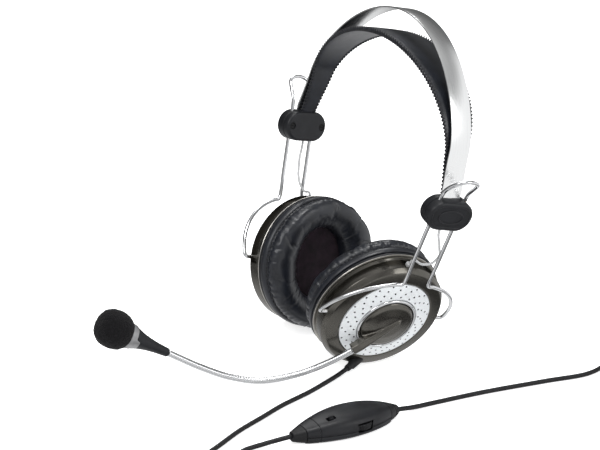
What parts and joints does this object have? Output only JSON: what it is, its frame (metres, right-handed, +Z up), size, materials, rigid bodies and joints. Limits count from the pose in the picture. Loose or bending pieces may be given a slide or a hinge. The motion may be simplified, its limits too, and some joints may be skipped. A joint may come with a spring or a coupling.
{
  "type": "office headset",
  "caption": "Over-head office headset: sprung steel band with padded strap, sliding wire yokes, tilting padded ear cups, turning gooseneck microphone and cord with in-line volume controller.",
  "frame": {"origin": "centre of the headset's footprint on the surface it stands on", "axes": "+X towards the wearer's left, -Y towards the wearer's front and the microphone, +Z up; the headset stands on both cups and the bend of its boom, leaning back 13 degrees"},
  "size_m": [0.2585, 0.3735, 0.2075],
  "materials": {
    "gunmetal": "metallic gunmetal paint, satin",
    "silver_paint": "silver metallic paint, fine sparkle",
    "chrome": "polished chrome plate",
    "chrome_wire": "chrome-plated steel wire",
    "spring_steel": "brushed along its length",
    "leatherette": "black leatherette, fine grain, slight shine",
    "cloth": "open black cloth over thin foam",
    "foam": "open-cell black foam",
    "black_plastic": "satin moulded black",
    "black_screw": "blackened steel",
    "black_rubber": "matte soft black",
    "grey_lead": "light grey insulation",
    "board": "green circuit board",
    "gold_plate": "gold-plated contact"
  },
  "bodies": {
    "left_cup": {"left_cup_shell": "gunmetal", "left_lead_grommet": "grey_lead", "left_perforated_ring": "silver_paint", "left_chrome_ring": "chrome", "left_baffle_plate": "gunmetal", "left_driver": "black_plastic", "left_ear_cushion": "leatherette", "left_ear_cloth": "cloth", "cord_gland": "black_rubber", "controller_top": "black_plastic", "controller_bottom": "black_plastic", "controller_cap_front": "black_rubber", "controller_cap_rear": "black_rubber", "controller_board": "board", "cord_to_controller": "black_rubber", "cord_to_coil": "black_rubber", "cord_to_splitter": "black_rubber", "cord_coil": "black_rubber", "cord_splitter": "black_rubber", "audio_tail": "black_rubber", "mic_tail": "black_rubber", "audio_plug_body": "black_rubber", "audio_plug_pin": "gold_plate", "mic_plug_body": "black_rubber", "mic_plug_pin": "gold_plate"},
    "boom": {"boom_hub": "gunmetal", "boom_gooseneck": "chrome_wire", "mic_housing": "black_plastic", "mic_ring": "silver_paint", "mic_capsule": "black_plastic", "mic_foam": "foam"},
    "volume_wheel": {"volume_wheel": "black_rubber"},
    "mute_slider": {"mute_slider": "black_plastic"},
    "left_yoke": {"left_yoke_wire": "chrome_wire", "left_lead_upper": "grey_lead", "left_lead_lower": "grey_lead"},
    "headband": {"spring_band": "spring_steel", "headband_strap": "leatherette", "left_block_outer_cover": "black_plastic", "left_block_inner_cover": "black_plastic", "left_clamp_spring": "spring_steel", "left_block_screw_front": "black_screw", "left_block_screw_rear": "black_screw", "right_block_outer_cover": "black_plastic", "right_block_inner_cover": "black_plastic", "right_clamp_spring": "spring_steel", "right_block_screw_front": "black_screw", "right_block_screw_rear": "black_screw"},
    "right_yoke": {"right_yoke_wire": "chrome_wire", "right_lead_upper": "grey_lead", "right_lead_lower": "grey_lead"},
    "right_cup": {"right_cup_shell": "gunmetal", "right_lead_grommet": "grey_lead", "right_perforated_ring": "silver_paint", "right_chrome_ring": "chrome", "right_baffle_plate": "gunmetal", "right_driver": "black_plastic", "right_ear_cushion": "leatherette", "right_ear_cloth": "cloth", "right_hub_cap": "gunmetal"}
  },
  "joints": [
    {"name": "boom_turn", "type": "hinge", "parent": "left_cup", "child": "boom", "pos_m": [0.04229, 0.06175, 0.03698], "axis": [0.9377, -0.1574, -0.3096], "range_deg": [-70, 6]},
    {"name": "wheel_turn", "type": "hinge", "parent": "left_cup", "child": "volume_wheel", "pos_m": [0.0988, 0.01, 0.00585], "axis": [0, 0, 1], "range_deg": [-130, 130]},
    {"name": "mute_slide", "type": "slide", "parent": "left_cup", "child": "mute_slider", "axis": [0, 1, 0], "range_m": [-0.0012, 0.0012]},
    {"name": "left_yoke_tilt", "type": "hinge", "parent": "left_cup", "child": "left_yoke", "pos_m": [0.04229, 0.06175, 0.03698], "axis": [0.0889, 0.9705, -0.2241], "range_deg": [-7, 18], "deforming": ["left_lead_lower"]},
    {"name": "left_size_slide", "type": "slide", "parent": "left_yoke", "child": "headband", "axis": [0.1764, 0.2061, 0.9625], "range_m": [-0.028, 0.003], "deforming": ["left_lead_upper"]},
    {"name": "right_size_slide", "type": "slide", "parent": "headband", "child": "right_yoke", "axis": [-0.1958, 0.2143, 0.9569], "range_m": [-0.006, 0.028], "deforming": ["right_lead_upper"]},
    {"name": "right_cup_tilt", "type": "hinge", "parent": "right_yoke", "child": "right_cup", "pos_m": [-0.04075, 0.06021, 0.03798], "axis": [0.0332, -0.9738, 0.2248], "range_deg": [-11, 15], "deforming": ["right_lead_lower"]}
  ]
}
